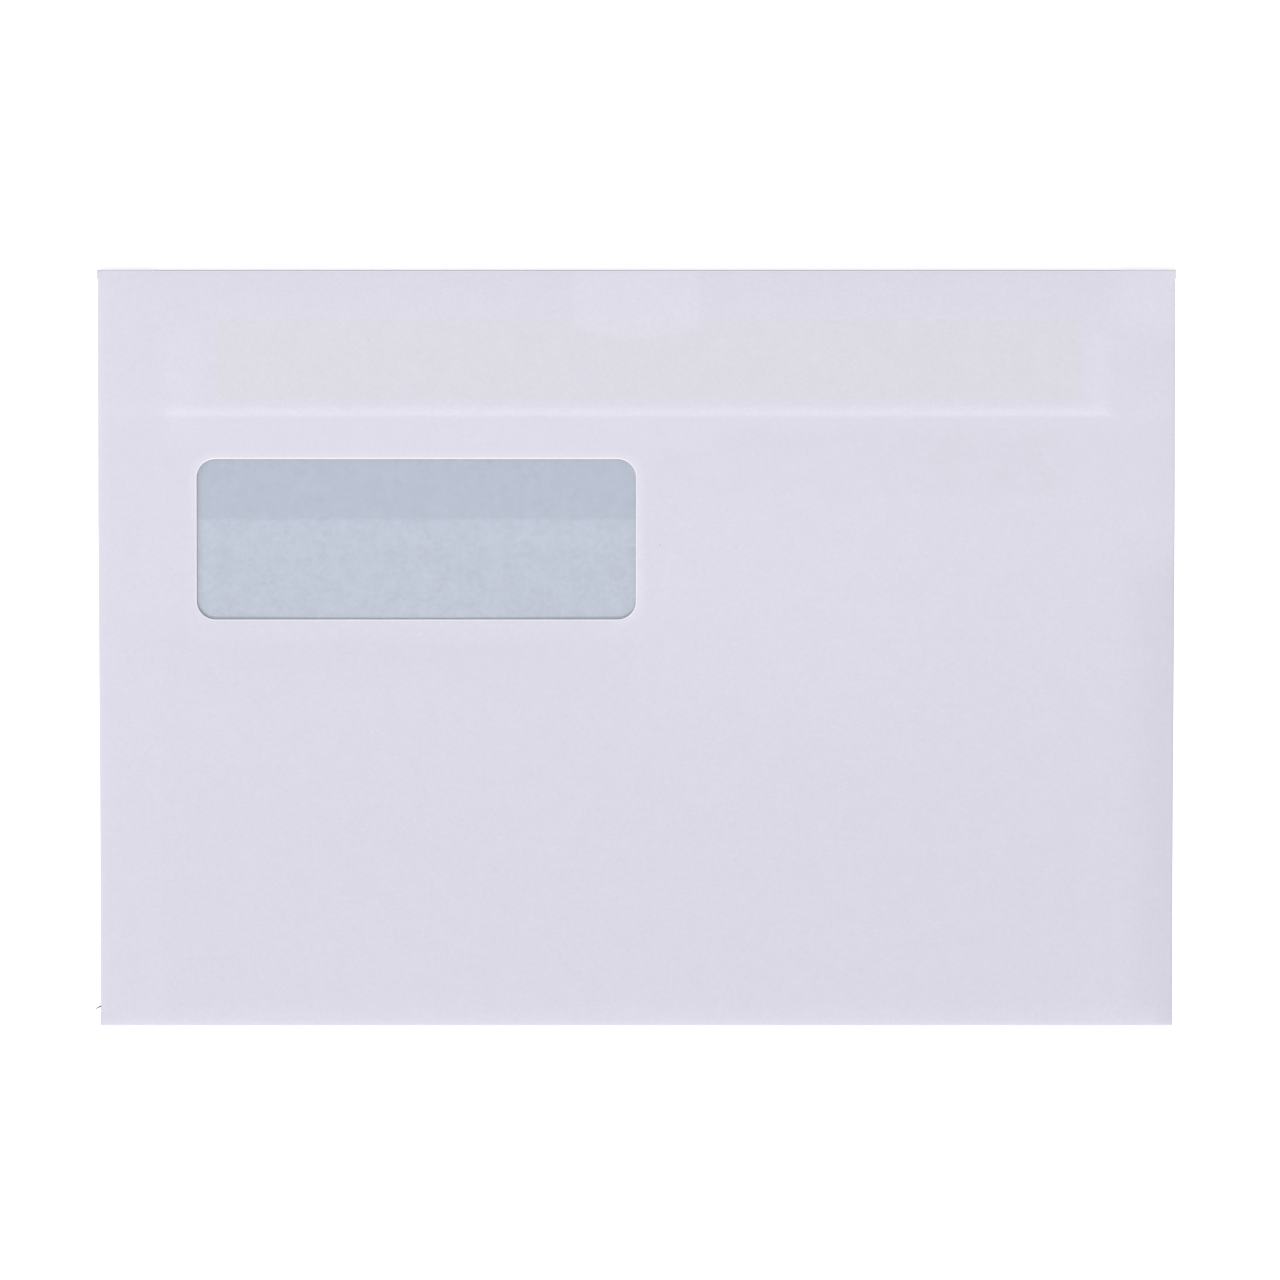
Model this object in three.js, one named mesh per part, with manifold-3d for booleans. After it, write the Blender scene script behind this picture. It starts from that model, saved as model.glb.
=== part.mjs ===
// A window envelope, unsealed and empty, lying on its back with its window side up.
// One blank of paper is folded into front, side flaps, back, counter flap and closing flap.
// Millimetres: X runs across the width, Y towards the closing flap's fold, Z out of the front.
import * as THREE from "three";
import { mergeVertices } from "three/addons/utils/BufferGeometryUtils.js";
import Module from "manifold-3d";

const { clamp, lerp, smoothstep } = THREE.MathUtils;
const wasm = await Module();
wasm.setup();

// Outside of the folded envelope
const envelopeWidth = 230.2; // over the side folds, in the upper half
const envelopeHeight = 161.6; // from the bottom fold to the top fold
const cornerStandOut = 0.1; // how far the cut corners reach past the side folds
const lowerDrawIn = 0.55; // how far each side fold runs in by the bottom
const drawInFrom = 125.6; // height above the bottom at which the side folds start to run in
const drawInTo = 8; // height above the bottom at which they have run in

// Sheets, coats and the room between them
const paperThickness = 0.12;
const filmThickness = 0.04;
const latexThickness = 0.03;
const gumThickness = 0.03; // gum in the side seams and under the film's margin
const looseGap = 0.06; // air between layers that only lie on each other
const bondGap = 0.01; // hair of room between a coat and its paper

// Folds, as radii of the paper's middle
const topFoldRadius = 0.25;
const sideFoldRadius = 0.2; // beside the throat
const bottomFoldRadius = 0.32;

// Window and its film
const windowWidth = 93.8;
const windowHeight = 34.3;
const windowCornerRadius = 4;
const windowFromLeft = 21.35;
const windowFromBottom = 86.9;
const filmOverlapSide = 2.1;
const filmOverlapTop = 3.3;
const filmOverlapBottom = 4.6;
const filmCornerRadius = 0.8;

// Closing flap, folded in behind the front
const closingFlapDepth = 31;
const closingFlapBaseInset = 11.85;
const closingFlapTipClearance = 0.7; // between its tip and the side flaps
const closingFlapCornerRadius = 3;

// Side flaps, inside the pocket
const sideFlapWidth = 13.85;
const sideFlapSlant = 2.8; // length of their slanted ends along the fold
const topCorner = 3.8; // from the top fold to where the side flaps start
const bottomCorner = 2.9; // from the bottom fold to where they start
const cornerNotch = 0.3; // width of the cut between a corner and a flap
const sideFlapLift = 6; // length over which a side flap leaves the back panel above the throat

// Back panel and counter flap
const throatBelowTop = 29.9;
const backInset = 1.5; // back panel's edge inside the side fold
const backSlant = 3; // its slanted cut above the bottom fold
const counterFlapDepth = 23.4;
const counterFlapBaseInset = 5;
const counterFlapTipInset = 10;
const counterFlapCornerRadius = 6;
const backRamp = 6; // length over which the back panel comes down past the counter flap
const backRampLead = 1; // how far beyond the counter flap's edge it starts

// Latex strips for closing, one on each flap
const latexFromLeft = 25.35;
const latexFromRight = 20.55;
const closingLatexFromThroat = 2.5;
const closingLatexWidth = 16.7;
const counterLatexFromThroat = 3.3;
const counterLatexWidth = 15.2;
const latexCornerRadius = 1;

// How the front panel stands
const frontPuff = 0.15;
const edgeRoll = 12; // width of the band in which it rolls down to its folds
const throatStep = 0.25; // its drop over the closing flap's tip
const bowLength = 9; // length over which it bows down to that tip
const bowTail = 1.5; // length in which it levels out below

// Fineness of the mesh
const foldSegments = 6; // in each half turn
const tipSegments = 5; // in a flap's rounded corner
const windowSegments = 8; // in a rounded corner of the window, the film or a strip
const flatColumns = 4; // across the level middle, on each side
const rollColumns = 4; // across the band that rolls down
const outerMargin = 1; // between the last column and the outside
const flapRows = 2; // along the closing flap's straight sides
const cornerRows = 2; // along a top corner
const slantRows = 5; // along a side flap's slanted end
const upperRows = 3; // from the side flaps' ends to the bow
const bowRows = 5;
const tailRows = 4;
const tailLengths = 4; // lengths of bowTail after which the front panel is level
const pocketRows = 2; // from there to the counter flap's edge
const counterRows = 3; // past the counter flap's edge
const lowerRows = 4; // down to the band that rolls to the bottom
const rollRows = 3; // in that band
const backRowCount = 3; // along the back panel on the table
const rampRows = 5;
const slopeProbe = 0.01;
const joinWithin = 0.0001;
const cutMargin = 1; // how far a cutting prism reaches past what it cuts

// Lines worked out from the sizes above
const halfPaper = paperThickness / 2;
const halfWidth = envelopeWidth / 2;
const topY = envelopeHeight / 2;
const bottomY = -topY;
const throatY = topY - throatBelowTop;
const flapTipY = topY - closingFlapDepth;
const counterEdgeY = throatY - counterFlapDepth;
const closingFlapBaseHalf = halfWidth - closingFlapBaseInset;
const closingFlapTipHalf = halfWidth - sideFlapWidth - closingFlapTipClearance;

// Heights of the paper's middle, layer by layer from the table up
const counterHeight = halfPaper;
const backOnTable = halfPaper;
const backOverFlap = counterHeight + paperThickness + bondGap + latexThickness + looseGap;
const seamRise = paperThickness + gumThickness;
const throatFoldRadius = (backOverFlap - counterHeight) / 2;
const flapAtThroat = backOverFlap + paperThickness + looseGap;
const frontAtBottom = backOnTable + 2 * bottomFoldRadius;
const frontAtPocket = backOverFlap + seamRise + 2 * sideFoldRadius;
const frontAtTop = frontAtPocket + throatStep;
const flapAtTop = frontAtTop - 2 * topFoldRadius;
const freeSideFlap = flapAtTop + paperThickness + looseGap;

// Where each fold starts to turn
const topFoldY = topY - topFoldRadius - halfPaper;
const bottomFoldY = bottomY + bottomFoldRadius + halfPaper;
const throatFoldY = throatY - throatFoldRadius - halfPaper;
const sideFlapTopY = topY - topCorner;
const sideFlapBottomY = bottomY + bottomCorner;

// Height above everything
const clearHeight = frontAtTop + frontPuff + cutMargin;

// Ease of a sheet that leaves a fold and levels out
function rollUp(distance, length) {
  const share = clamp(distance / length, 0, 1);
  return share * (2 - share);
}

// Half the width over the side folds, which run in a little towards the bottom
function foldHalf(y) {
  const run = smoothstep(bottomY + drawInFrom - y, 0, drawInFrom - drawInTo);
  return halfWidth - lowerDrawIn * run;
}

// Share of the throat step at which the front panel stands at y
function throatLift(y) {
  const shareAboveTip = bowLength / (bowLength + 3 * bowTail);
  const above = y - flapTipY;
  if (above > 0) {
    return 1 - shareAboveTip * Math.max(0, 1 - above / bowLength) ** 3;
  }
  return (1 - shareAboveTip) * Math.exp(above / bowTail);
}

// Height of the back panel: flat on the table, then up over the counter flap
function backHeight(y) {
  const rampTop = counterEdgeY - backRampLead;
  return lerp(backOnTable, backOverFlap, smoothstep(y, rampTop - backRamp, rampTop));
}

// Height of the closing flap between its fold and the throat
function closingFlapHeight(y) {
  return lerp(flapAtThroat, flapAtTop, clamp((y - flapTipY) / (topFoldY - flapTipY), 0, 1));
}

// Height of a side flap: gummed to the back panel, and free above the throat
function sideFlapHeight(y) {
  const gummed = backHeight(y) + seamRise;
  return lerp(gummed, freeSideFlap, smoothstep(y, throatY, throatY + sideFlapLift));
}

// Height of the front panel along its side folds
function frontEdgeHeight(y) {
  const level = lerp(frontAtBottom, frontAtPocket, rollUp(y - bottomFoldY, edgeRoll));
  return level + throatStep * throatLift(y);
}

// Radius of a side fold, which joins the front panel to its side flap
function sideRadius(y) {
  return (frontEdgeHeight(y) - sideFlapHeight(y)) / 2;
}

// Where a side fold starts to turn
function foldStart(y) {
  return foldHalf(y) - halfPaper - sideRadius(y);
}

// Height of the front panel anywhere: puffed up a little inside its folds
function frontHeight(x, y) {
  const fromSide = rollUp(foldStart(y) - Math.abs(x), edgeRoll);
  const fromEnds = rollUp(y - bottomFoldY, edgeRoll) * rollUp(topFoldY - y, edgeRoll);
  return frontEdgeHeight(y) + frontPuff * fromSide * fromEnds;
}

// Evenly spaced values after the first, up to and with the last
function steps(from, to, count) {
  return Array.from({ length: count }, (_, k) => lerp(from, to, (k + 1) / count));
}

// How much narrower a flap is at a distance from its rounded tip
function tipRounding(distance, radius) {
  const within = clamp(radius - distance, 0, radius);
  return radius - Math.sqrt(radius * radius - within * within);
}

// Half width of a tapered flap with rounded tip corners
function flapHalf(y, tipY, baseY, tipHalf, baseHalf, radius) {
  const straight = lerp(tipHalf, baseHalf, clamp((y - tipY) / (baseY - tipY), 0, 1));
  return straight - tipRounding(Math.abs(y - tipY), radius);
}

// A cross line of the blank that isn't part of the front panel: a point of its path and its half width
function plainRow(y, z, tangentY, tangentZ, half) {
  const length = Math.hypot(tangentY, tangentZ);
  return { y, z, outY: tangentZ / length, outZ: -tangentY / length, half };
}

// Cross lines of a nearly flat panel, with heights from a function of y
function panelRows(ys, heightAt, direction, halfAt) {
  return ys.map((y) => {
    const slope = (heightAt(y + slopeProbe) - heightAt(y - slopeProbe)) / (2 * slopeProbe);
    return plainRow(y, heightAt(y), direction, direction * slope, halfAt(y));
  });
}

// Cross lines inside a fold that turns half round from startAngle, by turn = 1 or -1
function foldRows(y, lowZ, radius, startAngle, turn, half) {
  const inner = steps(0, Math.PI, foldSegments).slice(0, -1);
  return inner.map((angle) => {
    const at = startAngle + turn * angle;
    const tangentY = -turn * Math.sin(at);
    const tangentZ = turn * Math.cos(at);
    return plainRow(y + radius * Math.cos(at), lowZ + radius * (1 + Math.sin(at)), tangentY, tangentZ, half);
  });
}

// Distances from a rounded tip, closer together towards it
function tipDistances(radius) {
  return steps(0, 1, tipSegments).map((share) => radius * share * share);
}

// Closing flap, from its tip up to the top fold
function closingFlapRows() {
  const halfAt = (y) =>
    flapHalf(y, flapTipY, topFoldY, closingFlapTipHalf, closingFlapBaseHalf, closingFlapCornerRadius);
  const tip = [0, ...tipDistances(closingFlapCornerRadius)].map((distance) => flapTipY + distance);
  const body = steps(tip.at(-1), topFoldY, flapRows);
  return panelRows([...tip, ...body], closingFlapHeight, 1, halfAt);
}

// A cross line of the front panel at a corner, where nothing folds in at the sides
function cornerRow(y, half) {
  return { front: true, y, half };
}

// A cross line of the front panel with the side folds and as much of the side flaps as it meets
function creasedRow(y) {
  const share = Math.min((sideFlapTopY - y) / sideFlapSlant, (y - sideFlapBottomY) / sideFlapSlant);
  const radius = sideRadius(y);
  const start = foldStart(y);
  const fullReach = Math.PI * radius + start - (halfWidth - sideFlapWidth);
  return { front: true, creased: true, y, start, radius, reach: clamp(share, 0, 1) * fullReach };
}

// Distances from a side flap's end, close together where its slanted cut crosses the fold
function slantDistances() {
  return steps(0, 1, slantRows).map((share) => sideFlapSlant * share ** 3);
}

// Front panel, from the top fold down to the bottom fold
function frontRows() {
  const topHalf = foldHalf(topY) + cornerStandOut;
  const bottomHalf = foldHalf(bottomY) + cornerStandOut;
  const topCornerRows = [topFoldY, ...steps(topFoldY, sideFlapTopY + cornerNotch, cornerRows)];
  const topSlant = [0, ...slantDistances()].map((distance) => sideFlapTopY - distance);
  const bowTop = flapTipY + bowLength;
  const bowEnd = flapTipY - tailLengths * bowTail;
  const rampLow = counterEdgeY - backRampLead - backRamp;
  const rollTop = bottomFoldY + edgeRoll;
  const bottomSlant = [0, ...slantDistances()].map((distance) => sideFlapBottomY + distance).reverse();
  const creased = [
    ...topSlant,
    ...steps(topSlant.at(-1), bowTop, upperRows),
    ...steps(bowTop, flapTipY, bowRows),
    ...steps(flapTipY, bowEnd, tailRows),
    ...steps(bowEnd, counterEdgeY, pocketRows),
    ...steps(counterEdgeY, rampLow, counterRows),
    ...steps(rampLow, rollTop, lowerRows),
    ...steps(rollTop, bottomSlant[0], rollRows),
    ...bottomSlant.slice(1),
  ];
  const bottomCornerRows = [sideFlapBottomY - cornerNotch, bottomFoldY];
  return [
    ...topCornerRows.map((y) => cornerRow(y, topHalf)),
    ...creased.map(creasedRow),
    ...bottomCornerRows.map((y) => cornerRow(y, bottomHalf)),
  ];
}

// Half width of the back panel, cut in above the bottom fold
function backHalf(y) {
  const bottomHalf = foldHalf(bottomY) + cornerStandOut;
  return lerp(bottomHalf, foldHalf(y) - backInset, clamp((y - bottomFoldY) / backSlant, 0, 1));
}

// Back panel, from the bottom fold up to the throat
function backRows() {
  const rampTop = counterEdgeY - backRampLead;
  const ys = [
    bottomFoldY,
    bottomFoldY + backSlant,
    bottomY + drawInTo,
    ...steps(bottomY + drawInTo, rampTop - backRamp, backRowCount),
    ...steps(rampTop - backRamp, rampTop, rampRows),
    throatFoldY,
  ];
  return panelRows(ys, backHeight, 1, backHalf);
}

// Counter flap, folded outwards from the throat and down
function counterFlapHalf(y) {
  const tipHalf = halfWidth - counterFlapTipInset;
  const baseHalf = halfWidth - counterFlapBaseInset;
  return flapHalf(y, counterEdgeY, throatFoldY, tipHalf, baseHalf, counterFlapCornerRadius);
}

// Counter flap, from the throat down to its tip
function counterFlapRows() {
  const tip = [0, ...tipDistances(counterFlapCornerRadius)].map((distance) => counterEdgeY + distance);
  return panelRows([throatFoldY, ...tip.reverse()], () => counterHeight, -1, counterFlapHalf);
}

// All cross lines of the blank, in the order in which the paper runs
function blankRows() {
  const topArc = foldRows(topFoldY, flapAtTop, topFoldRadius, -Math.PI / 2, 1, closingFlapBaseHalf);
  const bottomHalf = foldHalf(bottomY) + cornerStandOut;
  const bottomArc = foldRows(bottomFoldY, backOnTable, bottomFoldRadius, Math.PI / 2, 1, bottomHalf);
  const throatHalf = halfWidth - counterFlapBaseInset;
  const throatArc = foldRows(throatFoldY, counterHeight, throatFoldRadius, Math.PI / 2, -1, throatHalf);
  return [
    ...closingFlapRows(),
    ...topArc,
    ...frontRows(),
    ...bottomArc,
    ...backRows(),
    ...throatArc,
    ...counterFlapRows(),
  ];
}

// Column lines of half the blank, from the middle out to the start of the side fold
function flatLines() {
  const outer = halfWidth - outerMargin;
  const rollStart = outer - edgeRoll;
  const spread = [0, ...steps(0, rollStart, flatColumns), ...steps(rollStart, outer, rollColumns)];
  const special = [closingFlapBaseHalf, closingFlapBaseHalf + cornerNotch];
  const clear = spread.filter((x) => special.every((line) => Math.abs(line - x) > cornerNotch));
  return [...clear, ...special].sort((a, b) => a - b);
}

// Beyond the column lines come the start of the fold, the lines in it and the side flap's edge
const lines = flatLines();
const arcLines = steps(0, 1, foldSegments);
const columnsPerSide = lines.length + arcLines.length + 1;

// Point of the front panel's middle at x, y, with the way out of its outer face
function onFront(x, y) {
  const slopeX = (frontHeight(x + slopeProbe, y) - frontHeight(x - slopeProbe, y)) / (2 * slopeProbe);
  const slopeY = (frontHeight(x, y + slopeProbe) - frontHeight(x, y - slopeProbe)) / (2 * slopeProbe);
  const middle = new THREE.Vector3(x, y, frontHeight(x, y));
  return { middle, out: new THREE.Vector3(-slopeX, -slopeY, 1).normalize() };
}

// Point on a side fold or a side flap, at a distance along the paper past the start of the fold
function pastFold(row, side, distance) {
  const turned = Math.min(distance / row.radius, Math.PI);
  const flat = Math.max(0, distance - Math.PI * row.radius);
  const x = row.start + row.radius * Math.sin(turned) - flat;
  const z = frontHeight(row.start, row.y) - row.radius * (1 - Math.cos(turned));
  const middle = new THREE.Vector3(side * x, row.y, z);
  return { middle, out: new THREE.Vector3(side * Math.sin(turned), 0, Math.cos(turned)) };
}

// Point of the blank on a cross line, by the number of its column counted out from the middle
function onBlank(row, column) {
  const side = Math.sign(column);
  const order = Math.abs(column);
  const inFlat = order < lines.length;
  if (!row.front) {
    const x = Math.min(inFlat ? lines[order] : row.half, row.half);
    const middle = new THREE.Vector3(side * x, row.y, row.z);
    return { middle, out: new THREE.Vector3(0, row.outY, row.outZ) };
  }
  if (!row.creased) {
    const x = Math.min(inFlat ? lines[order] : row.half, row.half);
    const point = onFront(side * x, row.y);
    if (row.y === topFoldY && x > closingFlapBaseHalf) point.middle.y = topY - bondGap;
    return point;
  }
  if (inFlat) return onFront(side * Math.min(lines[order], row.start), row.y);
  const arcOrder = order - lines.length;
  if (arcOrder === 0) return onFront(side * row.start, row.y);
  const arcShare = arcLines[Math.min(arcOrder, arcLines.length) - 1];
  const past = arcOrder > arcLines.length ? row.reach : arcShare * Math.PI * row.radius;
  return pastFold(row, side, Math.min(past, row.reach));
}

// Drops what makes a mesh's vertices differ, joins them and leaves out faces with no area
function mergedMesh(geometry) {
  geometry.deleteAttribute("normal");
  geometry.deleteAttribute("uv");
  const merged = mergeVertices(geometry, joinWithin);
  const index = merged.index.array;
  const kept = [];
  for (let i = 0; i < index.length; i += 3) {
    const [a, b, c] = [index[i], index[i + 1], index[i + 2]];
    if (a !== b && b !== c && c !== a) kept.push(a, b, c);
  }
  merged.setIndex(kept);
  return merged;
}

// A closed mesh as a solid that can be cut
function solidOf(geometry) {
  const merged = mergedMesh(geometry);
  const vertProperties = merged.attributes.position.array;
  const triVerts = new Uint32Array(merged.index.array);
  return new wasm.Manifold(new wasm.Mesh({ numProp: 3, vertProperties, triVerts }));
}

// A sheet: a flat box of cells whose corners are moved to where placeAt(column, row, face) says
function bentSheet(columns, rows, placeAt) {
  const box = new THREE.BoxGeometry(1, 1, 1, columns, rows, 1);
  const position = box.attributes.position;
  for (let i = 0; i < position.count; i += 1) {
    const column = Math.round((position.getX(i) + 0.5) * columns);
    const row = Math.round((position.getY(i) + 0.5) * rows);
    const face = Math.sign(position.getZ(i));
    position.setXYZ(i, ...placeAt(column, row, face));
  }
  return solidOf(box);
}

// The folded blank, without its window
function foldedBlank() {
  const rows = blankRows();
  return bentSheet(2 * columnsPerSide, rows.length - 1, (column, row, face) => {
    const { middle, out } = onBlank(rows[row], column - columnsPerSide);
    return middle.addScaledVector(out, -face * halfPaper).toArray();
  });
}

// A rectangle with round corners, from its lowest corner, as an upright prism between two heights
function roundedPrism(left, low, width, height, radius, fromZ, toZ) {
  const outline = new THREE.Shape();
  const right = left + width;
  const high = low + height;
  outline.absarc(right - radius, low + radius, radius, -Math.PI / 2, 0);
  outline.absarc(right - radius, high - radius, radius, 0, Math.PI / 2);
  outline.absarc(left + radius, high - radius, radius, Math.PI / 2, Math.PI);
  outline.absarc(left + radius, low + radius, radius, Math.PI, 1.5 * Math.PI);
  const settings = { depth: toZ - fromZ, bevelEnabled: false, curveSegments: windowSegments };
  const prism = new THREE.ExtrudeGeometry(outline, settings);
  prism.translate(0, 0, fromZ);
  return solidOf(prism);
}

// A thin layer that follows a panel, between two heights above the panel's middle
function layerOn(xs, ys, heightAt, low, high) {
  return bentSheet(xs.length - 1, ys.length - 1, (column, row, face) => {
    const x = xs[column];
    const y = ys[row];
    return [x, y, heightAt(x, y) + (face > 0 ? high : low)];
  });
}

// The piece of a layer inside a rectangle with round corners
function cutLayer(layer, left, low, width, height, radius) {
  return layer.intersect(roundedPrism(left, low, width, height, radius, -cutMargin, clearHeight));
}

const windowLeft = -halfWidth + windowFromLeft;
const windowLow = bottomY + windowFromBottom;

// The envelope's paper, with the window cut through the front panel alone
function envelopeBlank() {
  const sideFlapTop = backOverFlap + seamRise + halfPaper;
  const cutFrom = (sideFlapTop + frontAtPocket - halfPaper) / 2;
  const size = [windowWidth, windowHeight, windowCornerRadius];
  return foldedBlank().subtract(roundedPrism(windowLeft, windowLow, ...size, cutFrom, clearHeight));
}

// The film, gummed to the inner face of the front panel
function windowFilm() {
  const xs = [...lines.slice(1).map((x) => -x).reverse(), ...lines];
  const ys = frontRows().map((row) => row.y).reverse();
  const top = -halfPaper - gumThickness;
  const layer = layerOn(xs, ys, frontHeight, top - filmThickness, top);
  const left = windowLeft - filmOverlapSide;
  const low = windowLow - filmOverlapBottom;
  const width = windowWidth + 2 * filmOverlapSide;
  const height = windowHeight + filmOverlapTop + filmOverlapBottom;
  return cutLayer(layer, left, low, width, height, filmCornerRadius);
}

// A latex strip on the upper face of a flap that lies flat, between two lines across it
function latexStrip(heightAt, flapLow, flapHigh, stripLow, stripWidth) {
  const low = halfPaper + bondGap;
  const layer = layerOn([-halfWidth, halfWidth], [flapLow, flapHigh], heightAt, low, low + latexThickness);
  const left = -halfWidth + latexFromLeft;
  const width = envelopeWidth - latexFromLeft - latexFromRight;
  return cutLayer(layer, left, stripLow, width, stripWidth, latexCornerRadius);
}

// The strip on the closing flap's inner face
function closingFlapLatex() {
  const low = throatY + closingLatexFromThroat;
  return latexStrip((x, y) => closingFlapHeight(y), flapTipY, topFoldY, low, closingLatexWidth);
}

// The strip on the counter flap's outer face
function counterFlapLatex() {
  const low = throatY - counterLatexFromThroat - counterLatexWidth;
  return latexStrip(() => counterHeight, counterEdgeY, throatFoldY, low, counterLatexWidth);
}

// Finishes
const paperFinish = () => new THREE.MeshStandardMaterial({ color: 0xdbdae7, roughness: 0.85, metalness: 0 });
const filmFinish = () =>
  new THREE.MeshStandardMaterial({
    color: 0xf4f7fa,
    roughness: 0.12,
    metalness: 0,
    transparent: true,
    opacity: 0.25,
  });
const latexFinish = () => new THREE.MeshStandardMaterial({ color: 0xe9e4cf, roughness: 0.55, metalness: 0 });

// A solid as a named mesh
function namedMesh(name, solid, material) {
  const { vertProperties, triVerts, numProp } = solid.getMesh();
  const geometry = new THREE.BufferGeometry();
  const position = new Float32Array((vertProperties.length / numProp) * 3);
  for (let i = 0; i < position.length / 3; i += 1) {
    position.set(vertProperties.subarray(i * numProp, i * numProp + 3), i * 3);
  }
  geometry.setAttribute("position", new THREE.BufferAttribute(position, 3));
  geometry.setIndex(new THREE.BufferAttribute(triVerts, 1));
  geometry.computeVertexNormals();
  const mesh = new THREE.Mesh(geometry, material);
  mesh.name = name;
  return mesh;
}

const envelope = new THREE.Group();
envelope.name = "window_envelope";
envelope.add(namedMesh("envelope_blank", envelopeBlank(), paperFinish()));
envelope.add(namedMesh("window_film", windowFilm(), filmFinish()));
envelope.add(namedMesh("closing_flap_latex", closingFlapLatex(), latexFinish()));
envelope.add(namedMesh("counter_flap_latex", counterFlapLatex(), latexFinish()));

export default envelope;
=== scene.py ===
import math
import bmesh
import bpy
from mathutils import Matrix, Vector, noise


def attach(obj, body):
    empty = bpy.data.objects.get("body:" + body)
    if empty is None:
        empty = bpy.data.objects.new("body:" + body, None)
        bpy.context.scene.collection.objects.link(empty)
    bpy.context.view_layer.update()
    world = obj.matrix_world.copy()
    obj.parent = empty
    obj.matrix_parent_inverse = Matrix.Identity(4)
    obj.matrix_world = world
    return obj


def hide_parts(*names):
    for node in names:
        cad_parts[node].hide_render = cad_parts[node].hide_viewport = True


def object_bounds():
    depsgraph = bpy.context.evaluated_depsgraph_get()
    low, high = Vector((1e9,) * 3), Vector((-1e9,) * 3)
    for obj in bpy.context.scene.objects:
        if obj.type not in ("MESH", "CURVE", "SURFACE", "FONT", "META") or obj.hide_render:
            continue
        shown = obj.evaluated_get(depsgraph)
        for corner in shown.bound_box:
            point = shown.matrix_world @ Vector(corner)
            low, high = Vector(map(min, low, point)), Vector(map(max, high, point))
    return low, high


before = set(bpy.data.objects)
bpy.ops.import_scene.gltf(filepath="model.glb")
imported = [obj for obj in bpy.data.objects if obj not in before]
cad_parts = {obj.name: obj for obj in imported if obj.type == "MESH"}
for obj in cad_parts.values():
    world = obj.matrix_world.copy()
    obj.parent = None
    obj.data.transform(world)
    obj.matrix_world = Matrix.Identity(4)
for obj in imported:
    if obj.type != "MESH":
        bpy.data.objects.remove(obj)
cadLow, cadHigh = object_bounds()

mm = 0.001

# the folded envelope, in millimetres; the sizes are those of the frame's blank
envelope = {
    "width": 230.2, "height": 161.6,
    "topStandOut": 0.2, "bottomStandOut": 0.0, "lowerDrawIn": 0.55, "drawInFrom": 125.6, "drawInTo": 8.0,
    "paper": 0.12, "gum": 0.03, "latex": 0.03, "looseGap": 0.06, "bondGap": 0.01,
    "topFold": 0.25, "sideFold": 0.2, "bottomFold": 0.32,
    "throatBelowTop": 29.9, "throatStep": 0.25, "puff": 0.15, "edgeRoll": 8.0, "sideRoll": 5.5,
    "sink": 0.22, "sinkFrom": 44.0, "sinkTo": 2.0,
}

# flaps of the blank
flaps = {
    "closingDepth": 31.0, "closingBaseInset": 11.85, "closingTipClearance": 0.7, "closingCorner": 3.0,
    "sideWidth": 13.85, "sideSlant": 2.8, "topCorner": 2.2, "bottomCorner": 3.4,
    "notch": 0.3, "baseNotch": 0.1, "sideLift": 6.0,
    "backInset": 1.5, "backSlant": 3.0, "backRamp": 6.0, "backRampLead": 1.0,
    "counterDepth": 23.4, "counterBaseInset": 5.0, "counterTipInset": 10.0, "counterCorner": 6.0,
}

window = {
    "width": 93.9, "height": 34.3, "corner": 4.0, "fromLeft": 21.12, "fromBottom": 86.9,
    "film": 0.04, "overlapSide": 2.1, "overlapTop": 3.3, "overlapBottom": 4.6, "filmCorner": 0.8,
}

# lines across the envelope, worked out from the sizes above
halfPaper = envelope["paper"] / 2
halfWidth = envelope["width"] / 2
topY = envelope["height"] / 2
bottomY = -topY
throatY = topY - envelope["throatBelowTop"]
flapTipY = topY - flaps["closingDepth"]
counterEdgeY = throatY - flaps["counterDepth"]
closingBaseHalf = halfWidth - flaps["closingBaseInset"]
closingTipHalf = halfWidth - flaps["sideWidth"] - flaps["closingTipClearance"]
sideTopY = topY - flaps["topCorner"]
sideBottomY = bottomY + flaps["bottomCorner"]
windowLeft = -halfWidth + window["fromLeft"]
windowRight = windowLeft + window["width"]
windowLow = bottomY + window["fromBottom"]
windowHigh = windowLow + window["height"]

# heights of the paper's middle, layer by layer from the table up
backOverFlap = (
    halfPaper + envelope["paper"] + envelope["bondGap"] + envelope["latex"] + envelope["looseGap"]
)
seamRise = envelope["paper"] + envelope["gum"]
throatFold = (backOverFlap - halfPaper) / 2
flapAtThroat = backOverFlap + envelope["paper"] + envelope["looseGap"]
frontAtBottom = halfPaper + 2 * envelope["bottomFold"]
frontAtPocket = backOverFlap + seamRise + 2 * envelope["sideFold"]
frontAtTop = frontAtPocket + envelope["throatStep"]
flapAtTop = frontAtTop - 2 * envelope["topFold"]
freeSideFlap = flapAtTop + envelope["paper"] + envelope["looseGap"]
topFoldY = topY - envelope["topFold"] - halfPaper
bottomFoldY = bottomY + envelope["bottomFold"] + halfPaper
throatFoldY = throatY - throatFold - halfPaper


def clamp(value, low=0.0, high=1.0):
    return max(low, min(high, value))


def lerp(a, b, share):
    return a + (b - a) * share


def smoothStep(value, low, high):
    share = clamp((value - low) / (high - low))
    return share * share * (3 - 2 * share)


def rollUp(distance, length):
    share = clamp(distance / length)
    return share * (2 - share)


def foldHalf(y):
    run = smoothStep(bottomY + envelope["drawInFrom"] - y, 0, envelope["drawInFrom"] - envelope["drawInTo"])
    return halfWidth - envelope["lowerDrawIn"] * run


# the front bows down to the closing flap's tip, which presses a line into it
bows = {"soft": (12.0, 2.2), "pressed": (3.8, 0.32), "pressedShare": 0.88, "endFirm": 0.5, "endSoft": 2.5}


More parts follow.
